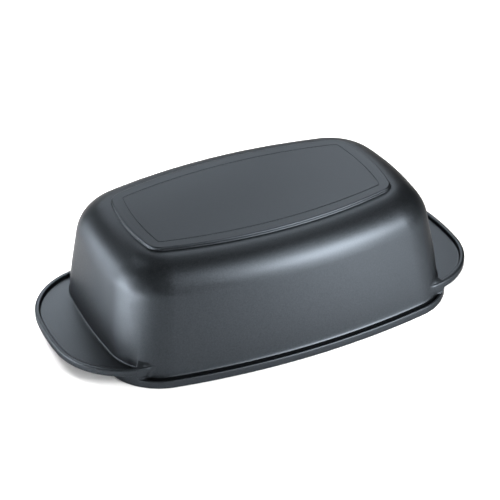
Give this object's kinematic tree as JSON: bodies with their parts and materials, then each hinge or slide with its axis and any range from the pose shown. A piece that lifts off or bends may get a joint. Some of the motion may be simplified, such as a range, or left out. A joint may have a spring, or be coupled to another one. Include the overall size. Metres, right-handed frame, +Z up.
{
  "type": "roasting pan",
  "caption": "Deep oval-cornered cast roasting pan standing upside down on its rim, with a raised foot on the base and a broad recessed ear at each end.",
  "frame": {"origin": "middle of the rim face that the pan stands on", "axes": "+X along the length towards one ear, +Y across the width, +Z up from the rim to the base, so the cavity opens towards -Z"},
  "size_m": [0.4, 0.2248, 0.1084],
  "materials": {
    "coating": "satin dark grey non-stick coating on cast aluminium"
  },
  "bodies": {
    "root": {"roasting_pan": "coating"}
  },
  "joints": []
}
